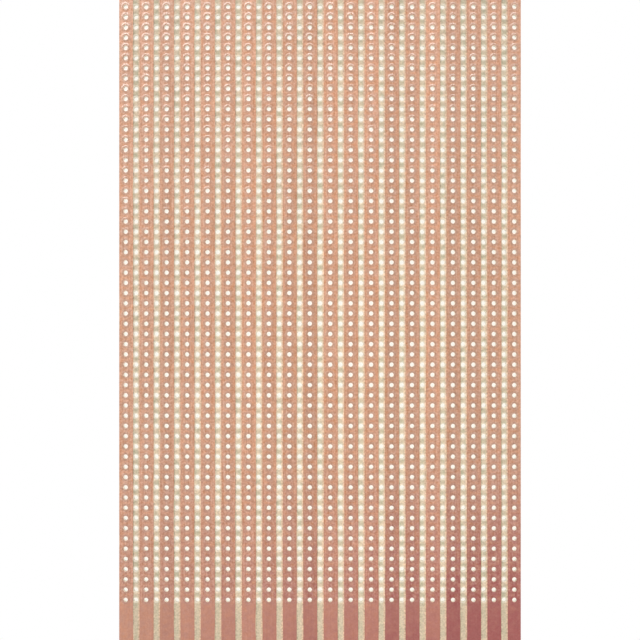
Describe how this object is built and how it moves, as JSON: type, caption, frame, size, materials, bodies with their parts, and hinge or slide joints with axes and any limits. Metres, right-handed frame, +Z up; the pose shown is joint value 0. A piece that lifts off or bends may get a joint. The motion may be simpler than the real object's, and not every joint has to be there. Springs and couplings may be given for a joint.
{
  "type": "stripboard",
  "caption": "Unpopulated prototype board: a punched laminate card with parallel copper strips, holes in the strips and in the gaps, and an unpunched contact end.",
  "frame": {"origin": "middle of the card's underside", "axes": "+Z up out of the copper side, +Y along the strips towards the plain end, +X across the strips"},
  "size_m": [0.0998, 0.16, 0.0017],
  "materials": {
    "laminate": "bare glass-epoxy laminate, satin, slightly translucent",
    "copper": "bare copper foil under a thin clear flux lacquer, satin with fine mottling"
  },
  "bodies": {
    "root": {"laminate": "laminate", "strip_01": "copper", "strip_02": "copper", "strip_03": "copper", "strip_04": "copper", "strip_05": "copper", "strip_06": "copper", "strip_07": "copper", "strip_08": "copper", "strip_09": "copper", "strip_10": "copper", "strip_11": "copper", "strip_12": "copper", "strip_13": "copper", "strip_14": "copper", "strip_15": "copper", "strip_16": "copper", "strip_17": "copper", "strip_18": "copper", "strip_19": "copper", "strip_20": "copper"}
  },
  "joints": []
}
